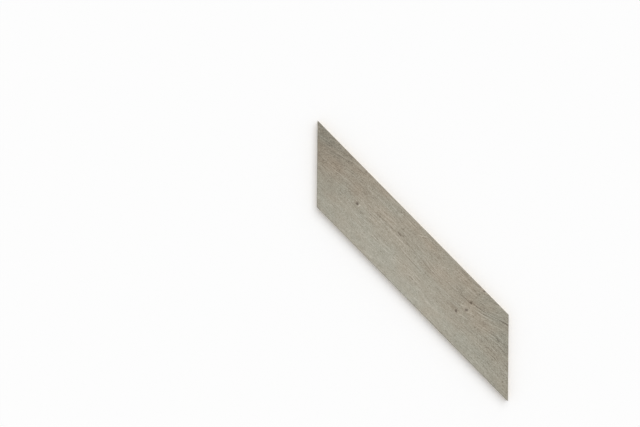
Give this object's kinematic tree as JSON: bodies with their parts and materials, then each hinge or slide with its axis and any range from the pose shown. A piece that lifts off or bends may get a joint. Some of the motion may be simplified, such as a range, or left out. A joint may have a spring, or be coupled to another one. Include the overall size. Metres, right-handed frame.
{
  "type": "chevron parquet plank",
  "caption": "Solid oak floor plank with both ends mitred to lie in a chevron, a bevelled grey-oiled face and a groove round all its edges for loose tongues.",
  "frame": {"origin": "on the underside, below the middle of the face", "axes": "+X along the grain and the long edges, +Y across the plank, +Z out of the face"},
  "size_m": [0.6, 0.11, 0.015],
  "materials": {
    "grey_oak": "brushed oak, grey stained and matt oiled on the face, raw planed wood on the edges and underside"
  },
  "bodies": {
    "root": {"plank": "grey_oak"}
  },
  "joints": []
}
